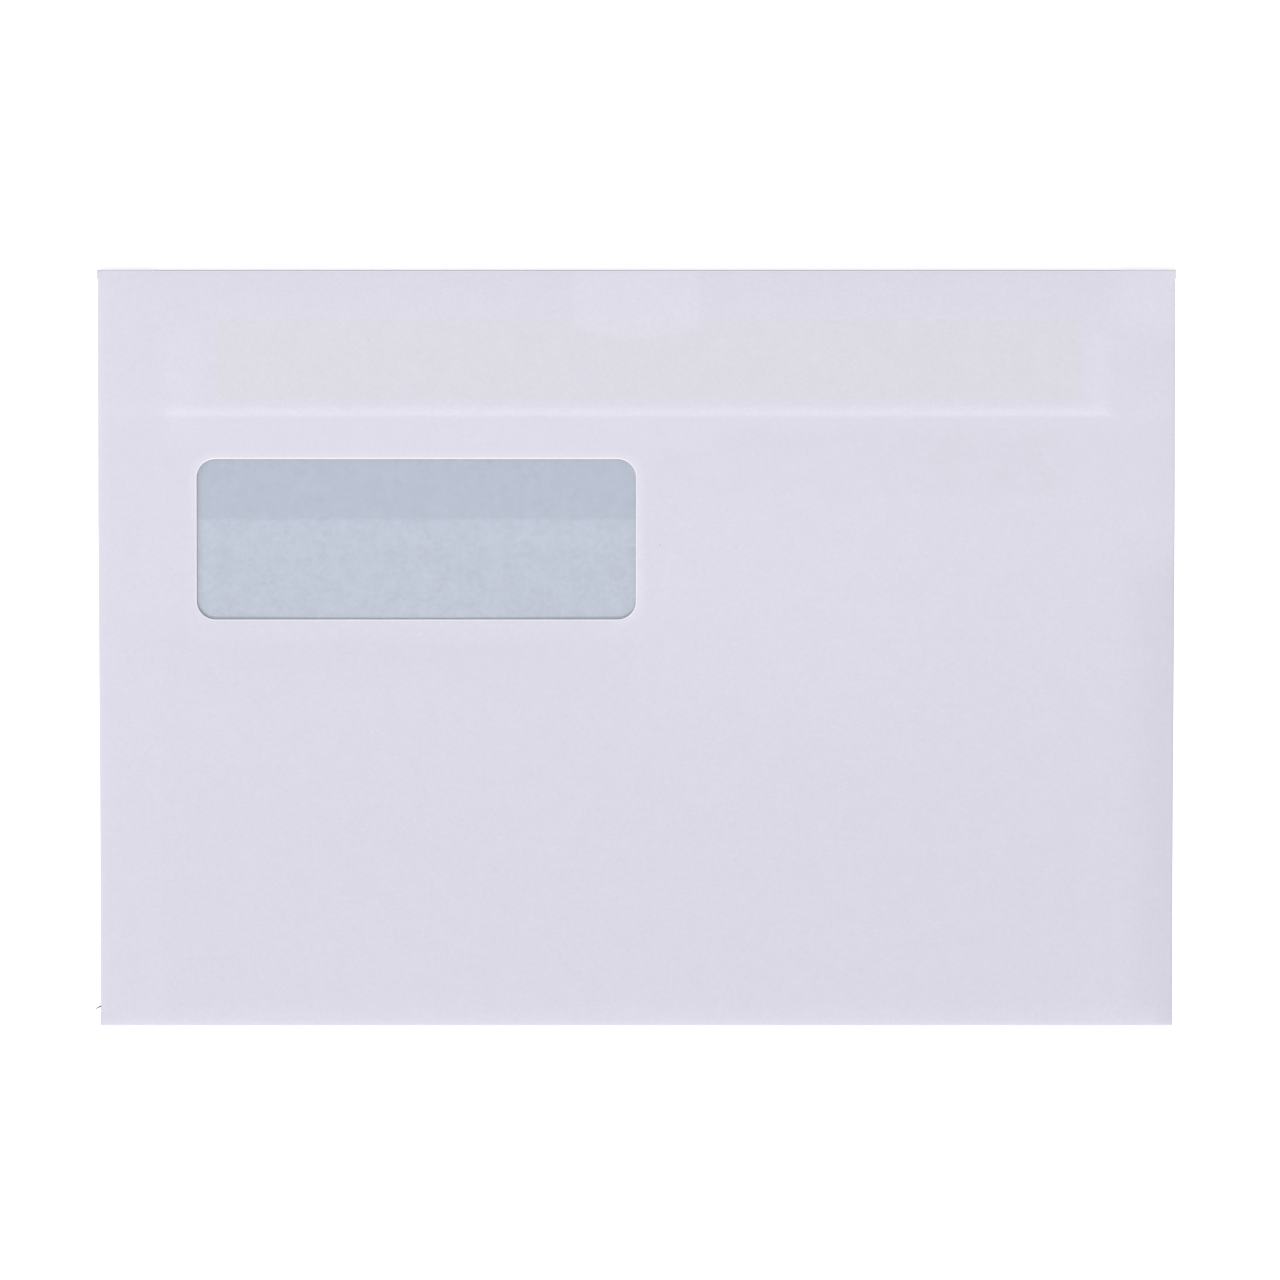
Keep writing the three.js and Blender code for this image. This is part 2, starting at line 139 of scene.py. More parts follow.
def bowLift(y, bow, tail):
    shareAbove = bow / (bow + 3 * tail)
    above = y - flapTipY
    if above > 0:
        return 1 - shareAbove * max(0.0, 1 - above / bow) ** 3
    return (1 - shareAbove) * math.exp(above / tail)


def throatLift(x, y):
    fading = smoothStep(abs(x), closingTipHalf - bows["endFirm"], closingTipHalf + bows["endSoft"])
    share = bows["pressedShare"] * (1 - fading)
    return lerp(bowLift(y, *bows["soft"]), bowLift(y, *bows["pressed"]), share)


def backHeight(y):
    rampTop = counterEdgeY - flaps["backRampLead"]
    return lerp(halfPaper, backOverFlap, smoothStep(y, rampTop - flaps["backRamp"], rampTop))


def closingFlapHeight(y):
    return lerp(flapAtThroat, flapAtTop, clamp((y - flapTipY) / (topFoldY - flapTipY)))


def sideFlapHeight(y):
    return lerp(backHeight(y) + seamRise, freeSideFlap, smoothStep(y, throatY, throatY + flaps["sideLift"]))


def frontEdgeHeight(x, y):
    pocket = frontAtPocket - envelope["sink"] * smoothStep(-y, -envelope["sinkFrom"], -envelope["sinkTo"])
    level = lerp(frontAtBottom, pocket, rollUp(y - bottomFoldY, envelope["edgeRoll"]))
    return level + envelope["throatStep"] * throatLift(x, y)


def sideRadius(y):
    return (frontEdgeHeight(halfWidth, y) - sideFlapHeight(y)) / 2


def foldStart(y):
    return foldHalf(y) - halfPaper - sideRadius(y)


# soft rises and hollows of the front: place, half lengths, turn in degrees, height
sways = [
    {"at": (86.0, -43.0), "size": (8.0, 42.0), "turn": 31.0, "height": -0.13},
    {"at": (105.0, -52.0), "size": (6.0, 32.0), "turn": 5.0, "height": 0.12},
    {"at": (-95.0, -8.0), "size": (14.0, 7.0), "turn": 25.0, "height": 0.08},
    {"at": (20.0, -58.0), "size": (16.0, 12.0), "turn": 0.0, "height": -0.05},
    {"at": (60.0, 5.0), "size": (30.0, 14.0), "turn": -18.0, "height": 0.06},
    {"at": (-55.0, -50.0), "size": (32.0, 12.0), "turn": 14.0, "height": 0.05},
    {"at": (-47.0, 5.0), "size": (44.0, 8.0), "turn": 0.0, "height": -0.34},
]
cockle = {
    "height": 0.018, "length": 17.0, "slice": 3.0,
    "fineHeight": 0.004, "fineLength": 5.0, "fineSlice": 40.0,
}


def swayHeight(x, y):
    total = 0.0
    for sway in sways:
        angle = math.radians(sway["turn"])
        dx, dy = x - sway["at"][0], y - sway["at"][1]
        along = (dx * math.cos(angle) - dy * math.sin(angle)) / sway["size"][0]
        across = (dx * math.sin(angle) + dy * math.cos(angle)) / sway["size"][1]
        total += sway["height"] * math.exp(-(along * along + across * across))
    broad = noise.noise(Vector((x, y, cockle["slice"])) / cockle["length"])
    fine = noise.noise(Vector((x, y, cockle["fineSlice"])) / cockle["fineLength"])
    return total + cockle["height"] * broad + cockle["fineHeight"] * fine


def frontHeight(x, y):
    fromSide = rollUp(foldStart(y) - abs(x), envelope["sideRoll"])
    fromEnds = rollUp(y - bottomFoldY, envelope["edgeRoll"]) * rollUp(topFoldY - y, envelope["edgeRoll"])
    level = frontEdgeHeight(x, y) + envelope["puff"] * fromSide * fromEnds
    return level + swayHeight(x, y) * fromSide * fromEnds


# camera, where the photo's was: straight over the front
camera = {
    "distance": 0.8, "framePixels": 1280.0, "pixel": 0.2136 * mm, "centre": (636.4, 648.0), "sensor": 36.0,
    "near": 0.01, "far": 20.0,
}


def makeCamera():
    data = bpy.data.cameras.new("photoCamera")
    data.sensor_width = camera["sensor"]
    frameWidth = camera["framePixels"] * camera["pixel"]
    data.lens = camera["sensor"] * (camera["distance"] - cadHigh.z) / frameWidth
    data.clip_start, data.clip_end = camera["near"], camera["far"]
    eye = bpy.data.objects.new("photoCamera", data)
    bpy.context.scene.collection.objects.link(eye)
    middle = camera["framePixels"] / 2
    eye.location = (
        (middle - camera["centre"][0]) * camera["pixel"],
        (camera["centre"][1] - middle) * camera["pixel"],
        camera["distance"],
    )
    bpy.context.scene.camera = eye


# light: a broad far lamp beyond the bottom edge, a large one on the left and an even room; the window's
# edges cast their shadow at its bottom and left
light = {
    "world": 0.465, "lampStrength": 2.0, "lampSpread": 15.0, "lampFrom": (-0.12, -0.9, 0.8),
    "sideStrength": 11.5, "sideSize": 1.1, "sideFrom": (-1.9, -0.3, 1.5),
}


def sightFactor(nodes, links):
    path = nodes.new("ShaderNodeLightPath")
    either = nodes.new("ShaderNodeMath")
    either.operation = "MAXIMUM"
    links.new(path.outputs["Is Camera Ray"], either.inputs[0])
    links.new(path.outputs["Is Glossy Ray"], either.inputs[1])
    seen = nodes.new("ShaderNodeMath")
    seen.operation = "MAXIMUM"
    links.new(either.outputs[0], seen.inputs[0])
    links.new(path.outputs["Is Transmission Ray"], seen.inputs[1])
    return seen.outputs[0]


def makeWorld():
    world = bpy.data.worlds.new("paleRoom")
    world.use_nodes = True
    bpy.context.scene.world = world
    nodes, links = world.node_tree.nodes, world.node_tree.links
    nodes.clear()
    room = nodes.new("ShaderNodeBackground")
    room.inputs["Color"].default_value = (1.0, 1.0, 1.0, 1.0)
    room.inputs["Strength"].default_value = light["world"]
    white = nodes.new("ShaderNodeBackground")
    white.inputs["Color"].default_value = (1.0, 1.0, 1.0, 1.0)
    white.inputs["Strength"].default_value = 1.0
    mix = nodes.new("ShaderNodeMixShader")
    out = nodes.new("ShaderNodeOutputWorld")
    links.new(sightFactor(nodes, links), mix.inputs["Fac"])
    links.new(room.outputs[0], mix.inputs[1])
    links.new(white.outputs[0], mix.inputs[2])
    links.new(mix.outputs[0], out.inputs["Surface"])


def placeLamp(data, start):
    lamp = bpy.data.objects.new(data.name, data)
    bpy.context.scene.collection.objects.link(lamp)
    lamp.location = start
    lamp.rotation_mode = "QUATERNION"
    lamp.rotation_quaternion = (-Vector(start)).to_track_quat("-Z", "Y")


def makeLamps():
    far = bpy.data.lights.new("farLamp", "SUN")
    far.energy = light["lampStrength"]
    far.angle = math.radians(light["lampSpread"])
    placeLamp(far, light["lampFrom"])
    side = bpy.data.lights.new("sideLamp", "AREA")
    side.shape = "DISK"
    side.size = light["sideSize"]
    side.energy = light["sideStrength"]
    placeLamp(side, light["sideFrom"])


table = {"size": 3.0, "below": 0.00002, "albedo": 0.8, "lift": 0.58}


def makeTable():
    bm = bmesh.new()
    bmesh.ops.create_grid(bm, x_segments=1, y_segments=1, size=table["size"] / 2)
    bmesh.ops.translate(bm, vec=(0, 0, -table["below"]), verts=bm.verts)
    sheet = bpy.data.meshes.new("tableTop")
    bm.to_mesh(sheet)
    bm.free()
    top = bpy.data.objects.new("tableTop", sheet)
    bpy.context.scene.collection.objects.link(top)
    material = bpy.data.materials.new("whiteTable")
    material.use_nodes = True
    nodes, links = material.node_tree.nodes, material.node_tree.links
    nodes.clear()
    matte = nodes.new("ShaderNodeBsdfDiffuse")
    matte.inputs["Color"].default_value = (table["albedo"],) * 3 + (1.0,)
    lift = nodes.new("ShaderNodeEmission")  # takes the open table to white and leaves the shadow
    lift.inputs["Strength"].default_value = table["lift"]
    both = nodes.new("ShaderNodeAddShader")
    mix = nodes.new("ShaderNodeMixShader")
    out = nodes.new("ShaderNodeOutputMaterial")
    links.new(matte.outputs[0], both.inputs[0])
    links.new(lift.outputs[0], both.inputs[1])
    links.new(sightFactor(nodes, links), mix.inputs["Fac"])
    links.new(matte.outputs[0], mix.inputs[1])
    links.new(both.outputs[0], mix.inputs[2])
    links.new(mix.outputs[0], out.inputs["Surface"])
    top.data.materials.append(material)


makeCamera()
makeWorld()
makeLamps()
makeTable()
bpy.context.scene.view_settings.view_transform = "Standard"
print("camera, light and table are set")


def srgb(red, green, blue):
    def linear(level):
        share = level / 255
        return share / 12.92 if share <= 0.04045 else ((share + 0.055) / 1.055) ** 2.4
    return (linear(red), linear(green), linear(blue), 1.0)


def newMaterial(name):
    material = bpy.data.materials.new(name)
    material.use_nodes = True
    nodes, links = material.node_tree.nodes, material.node_tree.links
    return material, nodes, links, nodes["Principled BSDF"]


def setOrLink(links, socket, value):
    if isinstance(value, (int, float, tuple)):
        socket.default_value = value
    else:
        links.new(value, socket)


def mathNode(nodes, links, operation, first, second=None, third=None):
    node = nodes.new("ShaderNodeMath")
    node.operation = operation
    for socket, value in zip(node.inputs, (first, second, third)):
        if value is not None:
            setOrLink(links, socket, value)
    return node.outputs[0]


def softStep(nodes, links, value, low, high):
    step = nodes.new("ShaderNodeMapRange")
    step.interpolation_type = "SMOOTHSTEP"
    step.clamp = True
    step.inputs["From Min"].default_value = low
    step.inputs["From Max"].default_value = high
    links.new(value, step.inputs["Value"])
    return step.outputs["Result"]


def band(nodes, links, value, low, high, soft):
    up = softStep(nodes, links, value, low - soft, low + soft)
    down = softStep(nodes, links, value, high - soft, high + soft)
    return mathNode(nodes, links, "SUBTRACT", up, down)


def field(nodes, links, x, y, left, right, low, high, soft):
    across = band(nodes, links, x, left * mm, right * mm, soft * mm)
    along = band(nodes, links, y, low * mm, high * mm, soft * mm)
    return mathNode(nodes, links, "MULTIPLY", across, along)


def noiseField(nodes, links, coordinates, grain, detail=3.0, roughness=0.6):
    cloud = nodes.new("ShaderNodeTexNoise")
    cloud.inputs["Scale"].default_value = 1 / (grain * mm)
    cloud.inputs["Detail"].default_value = detail
    cloud.inputs["Roughness"].default_value = roughness
    links.new(coordinates, cloud.inputs["Vector"])
    return cloud.outputs["Fac"]


# places of the colour sockets on a mix node, whose names repeat
mixSockets = {"factor": 0, "first": 6, "second": 7, "result": 2}


def tinted(nodes, links, colour, amount, other, mode="MIX"):
    mix = nodes.new("ShaderNodeMix")
    mix.data_type = "RGBA"
    mix.blend_type = mode
    for name, value in (("factor", amount), ("first", colour), ("second", other)):
        setOrLink(links, mix.inputs[mixSockets[name]], value)
    return mix.outputs[mixSockets["result"]]


def objectPlaces(nodes):
    return nodes.new("ShaderNodeTexCoord").outputs["Object"]


def splitPlaces(nodes, links, coordinates):
    split = nodes.new("ShaderNodeSeparateXYZ")
    links.new(coordinates, split.inputs[0])
    return split.outputs["X"], split.outputs["Y"]


cloudRange = (0.25, 0.75)


def mottled(nodes, links, colour, coordinates, clouds, detail=3.0, roughness=0.6):
    for grain, depth in clouds:
        cloud = noiseField(nodes, links, coordinates, grain, detail, roughness)
        shade = nodes.new("ShaderNodeMapRange")
        shade.inputs["From Min"].default_value, shade.inputs["From Max"].default_value = cloudRange
        shade.inputs["To Min"].default_value = 1 - depth
        shade.inputs["To Max"].default_value = 1 + depth
        shade.clamp = False
        links.new(cloud, shade.inputs["Value"])
        grey = nodes.new("ShaderNodeCombineColor")
        for socket in grey.inputs:
            links.new(shade.outputs["Result"], socket)
        colour = tinted(nodes, links, colour, 1.0, grey.outputs[0], "MULTIPLY")
    return colour


fibreNoise = (4.0, 0.7)


def grained(nodes, links, shader, coordinates, grain, depth, low, high):
    fibre = noiseField(nodes, links, coordinates, grain, *fibreNoise)
    bump = nodes.new("ShaderNodeBump")
    bump.inputs["Distance"].default_value = depth * mm
    bump.inputs["Strength"].default_value = 1.0
    links.new(fibre, bump.inputs["Height"])
    links.new(bump.outputs[0], shader.inputs["Normal"])
    gloss = nodes.new("ShaderNodeMapRange")
    gloss.inputs["To Min"].default_value = low
    gloss.inputs["To Max"].default_value = high
    links.new(fibre, gloss.inputs["Value"])
    links.new(gloss.outputs["Result"], shader.inputs["Roughness"])


# paper: colours as the photo shows them; what lies under the front changes its tone a little
paperLook = {
    "front": srgb(220.0, 218.4, 231.2), "edge": srgb(236, 235, 243), "back": srgb(219.5, 218.2, 230.6),
    # the tint over the counter flap carries painted shade
    "tint": srgb(190.0, 197.1, 213.6), "tintOverFlap": srgb(178.9, 187.0, 206.0),
    "grain": 0.09, "grainDepth": 0.004, "rough": (0.8, 0.95), "specular": 0.25,
    "clouds": ((0.35, 0.036), (1.0, 0.02), (5.0, 0.01)),
    "tintClouds": ((0.4, 0.07), (1.2, 0.08), (3.6, 0.09), (9.0, 0.03)),
    "tintDetail": (6.0, 0.72), "flecks": srgb(226, 229, 238), "fleckNoise": (0.7, 5.0, 0.6),
    "fleckFrom": (0.6, 0.68), "fleckShare": 0.26, "flapCalm": 0.3, "flapEdge": 0.6,
    "lower": srgb(217.4, 215.8, 228.8), "lowerFrom": 34.0, "lowerTo": -60.0,
}


def frontTone(box, soft, tone, share, **more):
    return {"box": box, "soft": soft, "tone": srgb(*tone), "share": share, **more}


# tones laid on the front: what shows through it, painted light and shade on its folds, edges and slopes,
# and lighter patches;
# left and right, then from and to below the top edge, then softness, in millimetres; the tone it turns the
# paper to, its share, how blotchy it is and how it curves
showThroughAndPaintedLight = {
    "closingFlap": frontTone((-101.8, 101.8, -4.0, 30.9), 0.6, (220.4, 218.7, 231.2), 1.0),
    "flapLeftRim": frontTone((-101.0, -93.0, 14.0, 31.5), 3.0, (223.4, 221.4, 234.4), 0.7),
    "flapRightRim": frontTone((96.0, 101.2, 14.0, 31.5), 2.4, (223.4, 221.4, 234.4), 0.8),
    "closingLatex": frontTone(
        (-89.0, 94.7, 10.7, 27.4), 1.6, (220.4, 219.6, 224.4), 0.55, blotch=0.5, grains=(1.3, 13.0)
    ),
    "tab": frontTone((-13.5, 13.2, -4.0, 14.4), 0.8, (223.4, 221.5, 233.9), 0.8, curve=11.0),
    "tabRim": frontTone(
        (-8.5, 9.5, 13.1, 14.6), 0.4, (227.5, 221.0, 230.0), 0.5, blotch=3.0, curve=11.0, grains=(0.7, 2.2)
    ),
    "counterLatex": frontTone(
        (4.0, 90.0, 33.2, 48.2), 1.4, (215.6, 214.4, 224.0), 0.4, blotch=2.6, grains=(0.9, 4.5)
    ),
    "seamLeft": frontTone((-118.0, -101.5, 2.4, 158.0), 0.5, (220.6, 218.9, 231.8), 0.3),
    "seamRight": frontTone((101.5, 118.0, 2.4, 158.0), 0.5, (219.6, 217.8, 230.8), 0.4),
    # painted shade down the lower right edge, where the front falls away from the lamp
    "lowerRightShade": frontTone((107.0, 122.0, 62.0, 170.0), 7.0, (212.0, 210.0, 224.0), 0.62),
    # painted light along the bottom fold, which faces the lamp
    "bottomFold": frontTone((-118.0, 112.0, 158.4, 170.0), 2.4, (222.0, 220.4, 233.4), 0.55),
    "topRight": frontTone((103.0, 118.0, -4.0, 13.0), 4.0, (224.4, 222.4, 235.6), 0.8),
    "topLeft": frontTone((-118.0, -104.0, -4.0, 10.0), 4.0, (222.4, 220.4, 233.6), 0.5),
    # painted light down the left fold, which turns towards the side lamp
    "leftFoldLight": frontTone((-119.0, -113.8, 3.0, 160.0), 1.4, (225.4, 223.6, 236.2), 0.4),
    # painted highlight on the line the closing flap's tip presses in, on its slope towards the lamp
    "pressedLineHighlight": frontTone((-100.6, 100.6, 29.4, 31.2), 0.8, (226.6, 224.8, 236.8), 0.5),
    "besideWindow": frontTone((0.0, 58.0, 34.0, 92.0), 14.0, (221.4, 219.6, 232.6), 0.5),
    # painted light over the top fold's shaded side, and painted shade along the top edge at the corners
    "topFoldPaintedLight": frontTone((-103.3, 103.3, -2.0, 0.42), 0.1, (236, 234, 245), 1.0),
    "topLeftEdgeShade": frontTone((-118.0, -103.3, -2.0, 0.26), 0.08, (200, 198, 210), 0.8),
    "topRightEdgeShade": frontTone((103.3, 118.0, -2.0, 0.26), 0.08, (200, 198, 210), 0.8),
    # painted light below the pressed line, where the front slopes down towards the lamp
    "lightBelowThroat": frontTone((-101.0, 18.0, 31.5, 38.5), 2.5, (223.2, 221.4, 234.2), 0.65),
    "lightBelowThroatRight": frontTone((18.0, 101.0, 31.5, 35.0), 2.0, (222.0, 220.2, 233.0), 0.6),
}

blotches = {"fine": (6.0, 0.85), "broad": (2.0, 0.5), "contrast": 4}


# distance from the window's outline, in millimetres, growing outwards
def windowDistance(nodes, links, x, y):
    corner = window["corner"]
    reach = []
    for value, low, high in ((x, windowLeft, windowRight), (y, windowLow, windowHigh)):
        fromMiddle = mathNode(nodes, links, "SUBTRACT", value, (low + high) / 2 * mm)
        apart = mathNode(nodes, links, "ABSOLUTE", fromMiddle)
        past = mathNode(nodes, links, "SUBTRACT", apart, ((high - low) / 2 - corner) * mm)
        beyond = mathNode(nodes, links, "MAXIMUM", past, 0.0)
        reach.append(mathNode(nodes, links, "MULTIPLY", beyond, beyond))
    total = mathNode(nodes, links, "SQRT", mathNode(nodes, links, "ADD", *reach))
    return mathNode(nodes, links, "MULTIPLY_ADD", total, 1 / mm, -corner)


# the gummed film margin shows lighter, painted light lies near the window's upper and right sides, and the
# cut edge is frayed white with a painted highlight along it, brightest at the top
windowRim = {
    "paintedGlow": srgb(229.0, 227.0, 239.8), "paintedGlowShare": 0.75, "paintedGlowWidth": 2.5, "paintedGlowFade": 8.0,
    "frame": srgb(222.6, 221.0, 234.2), "frameShare": 0.3, "frameSoft": 1.0,
    "edge": srgb(246, 245, 251), "edgeShare": 0.8, "edgeFrom": 0.28, "edgeTo": 0.14,
    "topEdgeHighlight": srgb(255, 255, 255), "topFade": 2.0,
}

# dust and fibre ends: place, radius and tone; each fades out over a share of its radius
speckSoft = {"outer": 1.3, "inner": 0.5}
specks = [
    {"at": (4.95, 21.96), "size": 0.17, "tone": srgb(186, 184, 198)},
    {"at": (-57.1, 65.6), "size": 0.13, "tone": srgb(192, 190, 202)},
    {"at": (61.0, -30.5), "size": 0.12, "tone": srgb(200, 198, 210)},
    {"at": (-31.0, -52.0), "size": 0.12, "tone": srgb(198, 196, 208)},
]


def speckled(nodes, links, x, y, colour):
    for speck in specks:
        across = mathNode(nodes, links, "SUBTRACT", x, speck["at"][0] * mm)
        along = mathNode(nodes, links, "SUBTRACT", y, speck["at"][1] * mm)
        squares = [mathNode(nodes, links, "MULTIPLY", value, value) for value in (across, along)]
        away = mathNode(nodes, links, "SQRT", mathNode(nodes, links, "ADD", *squares))
        outer, inner = speck["size"] * speckSoft["outer"], speck["size"] * speckSoft["inner"]
        spot = softStep(nodes, links, away, outer * mm, inner * mm)
        colour = tinted(nodes, links, colour, spot, speck["tone"])
    return colour


def aroundWindow(nodes, links, x, y, colour):
    distance = windowDistance(nodes, links, x, y)
    left, end = windowLeft - window["overlapSide"], windowRight + window["overlapSide"]
    low, high = windowLow - window["overlapBottom"], windowHigh + window["overlapTop"]
    margin = field(nodes, links, x, y, left, end, low, high, windowRim["frameSoft"])
    gummed = mathNode(nodes, links, "MULTIPLY", margin, windowRim["frameShare"])
    colour = tinted(nodes, links, colour, gummed, windowRim["frame"])
    # painted light near the window's upper and right sides
    near = softStep(nodes, links, distance, windowRim["paintedGlowWidth"], 0.0)
    upper = softStep(nodes, links, y, (windowLow + windowRim["paintedGlowFade"]) * mm, windowHigh * mm)
    right = softStep(nodes, links, x, (windowRight - windowRim["paintedGlowFade"]) * mm, windowRight * mm)
    lit = mathNode(nodes, links, "MAXIMUM", upper, right)
    lifted = mathNode(nodes, links, "MULTIPLY", lit, windowRim["paintedGlowShare"])
    paintedGlow = mathNode(nodes, links, "MULTIPLY", near, lifted)
    colour = tinted(nodes, links, colour, paintedGlow, windowRim["paintedGlow"])
    # a painted highlight along the cut edge all round the window, pure white along its top
    rim = softStep(nodes, links, distance, windowRim["edgeFrom"], windowRim["edgeTo"])
    edge = mathNode(nodes, links, "MULTIPLY", rim, windowRim["edgeShare"])
    colour = tinted(nodes, links, colour, edge, windowRim["edge"])
    atTop = softStep(nodes, links, y, (windowHigh - windowRim["topFade"]) * mm, windowHigh * mm)
    litTop = mathNode(nodes, links, "MULTIPLY", rim, atTop)
    return tinted(nodes, links, colour, litTop, windowRim["topEdgeHighlight"])


def finishPaper(nodes, links, shader, coordinates, colour):
    links.new(colour, shader.inputs["Base Color"])
    shader.inputs["Specular IOR Level"].default_value = paperLook["specular"]
    grain, depth = paperLook["grain"], paperLook["grainDepth"]
    grained(nodes, links, shader, coordinates, grain, depth, *paperLook["rough"])


def frontPaper():
    material, nodes, links, shader = newMaterial("frontPaper")
    coordinates = objectPlaces(nodes)
    x, y = splitPlaces(nodes, links, coordinates)
    lower = softStep(nodes, links, y, paperLook["lowerFrom"] * mm, paperLook["lowerTo"] * mm)
    colour = tinted(nodes, links, paperLook["front"], lower, paperLook["lower"])
    for shown in showThroughAndPaintedLight.values():
        left, right, start, end = shown["box"]
        level = y
        if "curve" in shown:
            square = mathNode(nodes, links, "MULTIPLY", x, x)
            rise = mathNode(nodes, links, "MULTIPLY", square, shown["curve"])
            level = mathNode(nodes, links, "SUBTRACT", y, rise)
        mask = field(nodes, links, x, level, left, right, topY - end, topY - start, shown["soft"])
        if "blotch" in shown:
            fineCloud = noiseField(nodes, links, coordinates, shown["grains"][0], *blotches["fine"])
            broadCloud = noiseField(nodes, links, coordinates, shown["grains"][1], *blotches["broad"])
            cloud = mathNode(nodes, links, "ADD", fineCloud, broadCloud)
            contrast = blotches["contrast"] * shown["blotch"]
            patches = mathNode(nodes, links, "MULTIPLY_ADD", cloud, contrast, 1 - contrast)
            patches.node.use_clamp = True
            mask = mathNode(nodes, links, "MULTIPLY", mask, patches)
        share = mathNode(nodes, links, "MULTIPLY", mask, shown["share"])
        colour = tinted(nodes, links, colour, share, shown["tone"])
    colour = speckled(nodes, links, x, y, aroundWindow(nodes, links, x, y, colour))
    colour = mottled(nodes, links, colour, coordinates, paperLook["clouds"])
    finishPaper(nodes, links, shader, coordinates, colour)
    return material


def plainPaper(name, colour, clouds):
    material, nodes, links, shader = newMaterial(name)
    coordinates = objectPlaces(nodes)
    finishPaper(nodes, links, shader, coordinates, mottled(nodes, links, colour, coordinates, clouds))
    return material


# the tint inside is darker and calmer where the counter flap's edge crosses behind the window; the
# darkening is painted shade for the light the flap keeps from coming through the paper
def insideTint():
    material, nodes, links, shader = newMaterial("insideTint")
    coordinates = objectPlaces(nodes)
    x, y = splitPlaces(nodes, links, coordinates)
    soft = paperLook["flapEdge"]
    over = softStep(nodes, links, y, (counterEdgeY - soft) * mm, (counterEdgeY + soft) * mm)
    plain = tinted(nodes, links, paperLook["tint"], over, paperLook["tintOverFlap"])
    colour = mottled(nodes, links, plain, coordinates, paperLook["tintClouds"], *paperLook["tintDetail"])
    calm = mathNode(nodes, links, "MULTIPLY", over, paperLook["flapCalm"])
    grain = noiseField(nodes, links, coordinates, *paperLook["fleckNoise"])
    spots = softStep(nodes, links, grain, *paperLook["fleckFrom"])
    fleck = mathNode(nodes, links, "MULTIPLY", spots, paperLook["fleckShare"])
    colour = tinted(nodes, links, colour, fleck, paperLook["flecks"])
    colour = tinted(nodes, links, colour, calm, plain)
    finishPaper(nodes, links, shader, coordinates, colour)
    return material


# how finely the sheet is laid out, in millimetres, counts or degrees
layout = {
    "column": 1.9, "row": 1.75, "backRow": 4.0, "fold": 8, "round": 8, "corner": 6, "edge": 1.0,
    "flapColumns": 2, "slantRows": 7, "topRows": 3, "bottomRows": 2, "backSlantRows": 2, "rampRows": 8,
    "pressedRow": 0.25, "pressedReach": 4.0, "joinWithin": 0.001, "cornerSlack": 0.01, "sharpFrom": 40.0,
}
sideColumns = layout["fold"] + layout["flapColumns"]


def steps(start, end, count):
    return [lerp(start, end, (k + 1) / count) for k in range(count)]


def spread(start, end, pitch):
    return steps(start, end, max(1, round(abs(end - start) / pitch)))


# how far a rounded tip corner draws in a flap's side
def tipRounding(distance, radius):
    within = clamp(radius - distance, 0, radius)
    return radius - math.sqrt(radius * radius - within * within)


# half the width of a flap with slanted sides and rounded tip corners
def flapHalf(y, tipY, baseY, tipHalf, baseHalf, radius):
    straight = lerp(tipHalf, baseHalf, clamp((y - tipY) / (baseY - tipY)))
    return straight - tipRounding(abs(y - tipY), radius)


def tipDistances(radius):
    return [0.0] + [radius * share * share for share in steps(0, 1, layout["round"])]


# rows of the sheet, from the closing flap's tip over the front and the back to the counter flap's edge;
# each has its half width, and its height unless it belongs to the front
def panelRows(ys, heightAt, halfAt):
    return [{"y": y, "z": heightAt(y), "half": halfAt(y)} for y in ys]


def foldRows(y, lowZ, radius, startAngle, turn, half):
    rows = []
    for angle in steps(0, math.pi, layout["fold"])[:-1]:
        at = startAngle + turn * angle
        rows.append({"y": y + radius * math.cos(at), "z": lowZ + radius * (1 + math.sin(at)), "half": half})
    return rows


def closingFlapRows():
    def halfAt(y):
        return flapHalf(y, flapTipY, topFoldY, closingTipHalf, closingBaseHalf, flaps["closingCorner"])
    tip = [flapTipY + distance for distance in tipDistances(flaps["closingCorner"])]
    return panelRows(tip + spread(tip[-1], topFoldY, layout["backRow"]), closingFlapHeight, halfAt)


# a front row with side flaps: flat up to its start, then round the fold and as far inside as it reaches
def creasedRow(y):
    slant = flaps["sideSlant"]
    share = clamp(min((sideTopY - y) / slant, (y - sideBottomY) / slant))
    radius, start = sideRadius(y), foldStart(y)
    reach = share * (math.pi * radius + start - (halfWidth - flaps["sideWidth"]))
    return {"y": y, "front": True, "start": start, "radius": radius, "reach": reach}


def frontRows():
    slant = [flaps["sideSlant"] * share ** 3 for share in steps(0, 1, layout["slantRows"])]
    topSlant = [sideTopY] + [sideTopY - distance for distance in slant]
    bottomSlant = [sideBottomY + distance for distance in reversed(slant)] + [sideBottomY]
    corner, fine = window["corner"], layout["corner"]
    creased, reach, pitch = topSlant[:], layout["pressedReach"], layout["row"]
    for y, step in (
        (flapTipY + reach, pitch), (flapTipY - reach, layout["pressedRow"]), (windowHigh, pitch),
        (windowHigh - corner, corner / fine), (windowLow + corner, pitch), (windowLow, corner / fine),
        (bottomSlant[0], pitch),
    ):
        creased += spread(creased[-1], y, step)
    creased += bottomSlant[1:]
    topHalf = foldHalf(topY) + envelope["topStandOut"]
    bottomHalf = foldHalf(bottomY) + envelope["bottomStandOut"]
    topRows = [topFoldY] + steps(topFoldY, sideTopY + flaps["notch"], layout["topRows"])
    lastNotch = sideBottomY - flaps["notch"]
    bottomRows = [lastNotch] + steps(lastNotch, bottomFoldY, layout["bottomRows"])
    return (
        [{"y": y, "front": True, "half": topHalf} for y in topRows]
        + [creasedRow(y) for y in creased]
        + [{"y": y, "front": True, "half": bottomHalf} for y in bottomRows]
    )


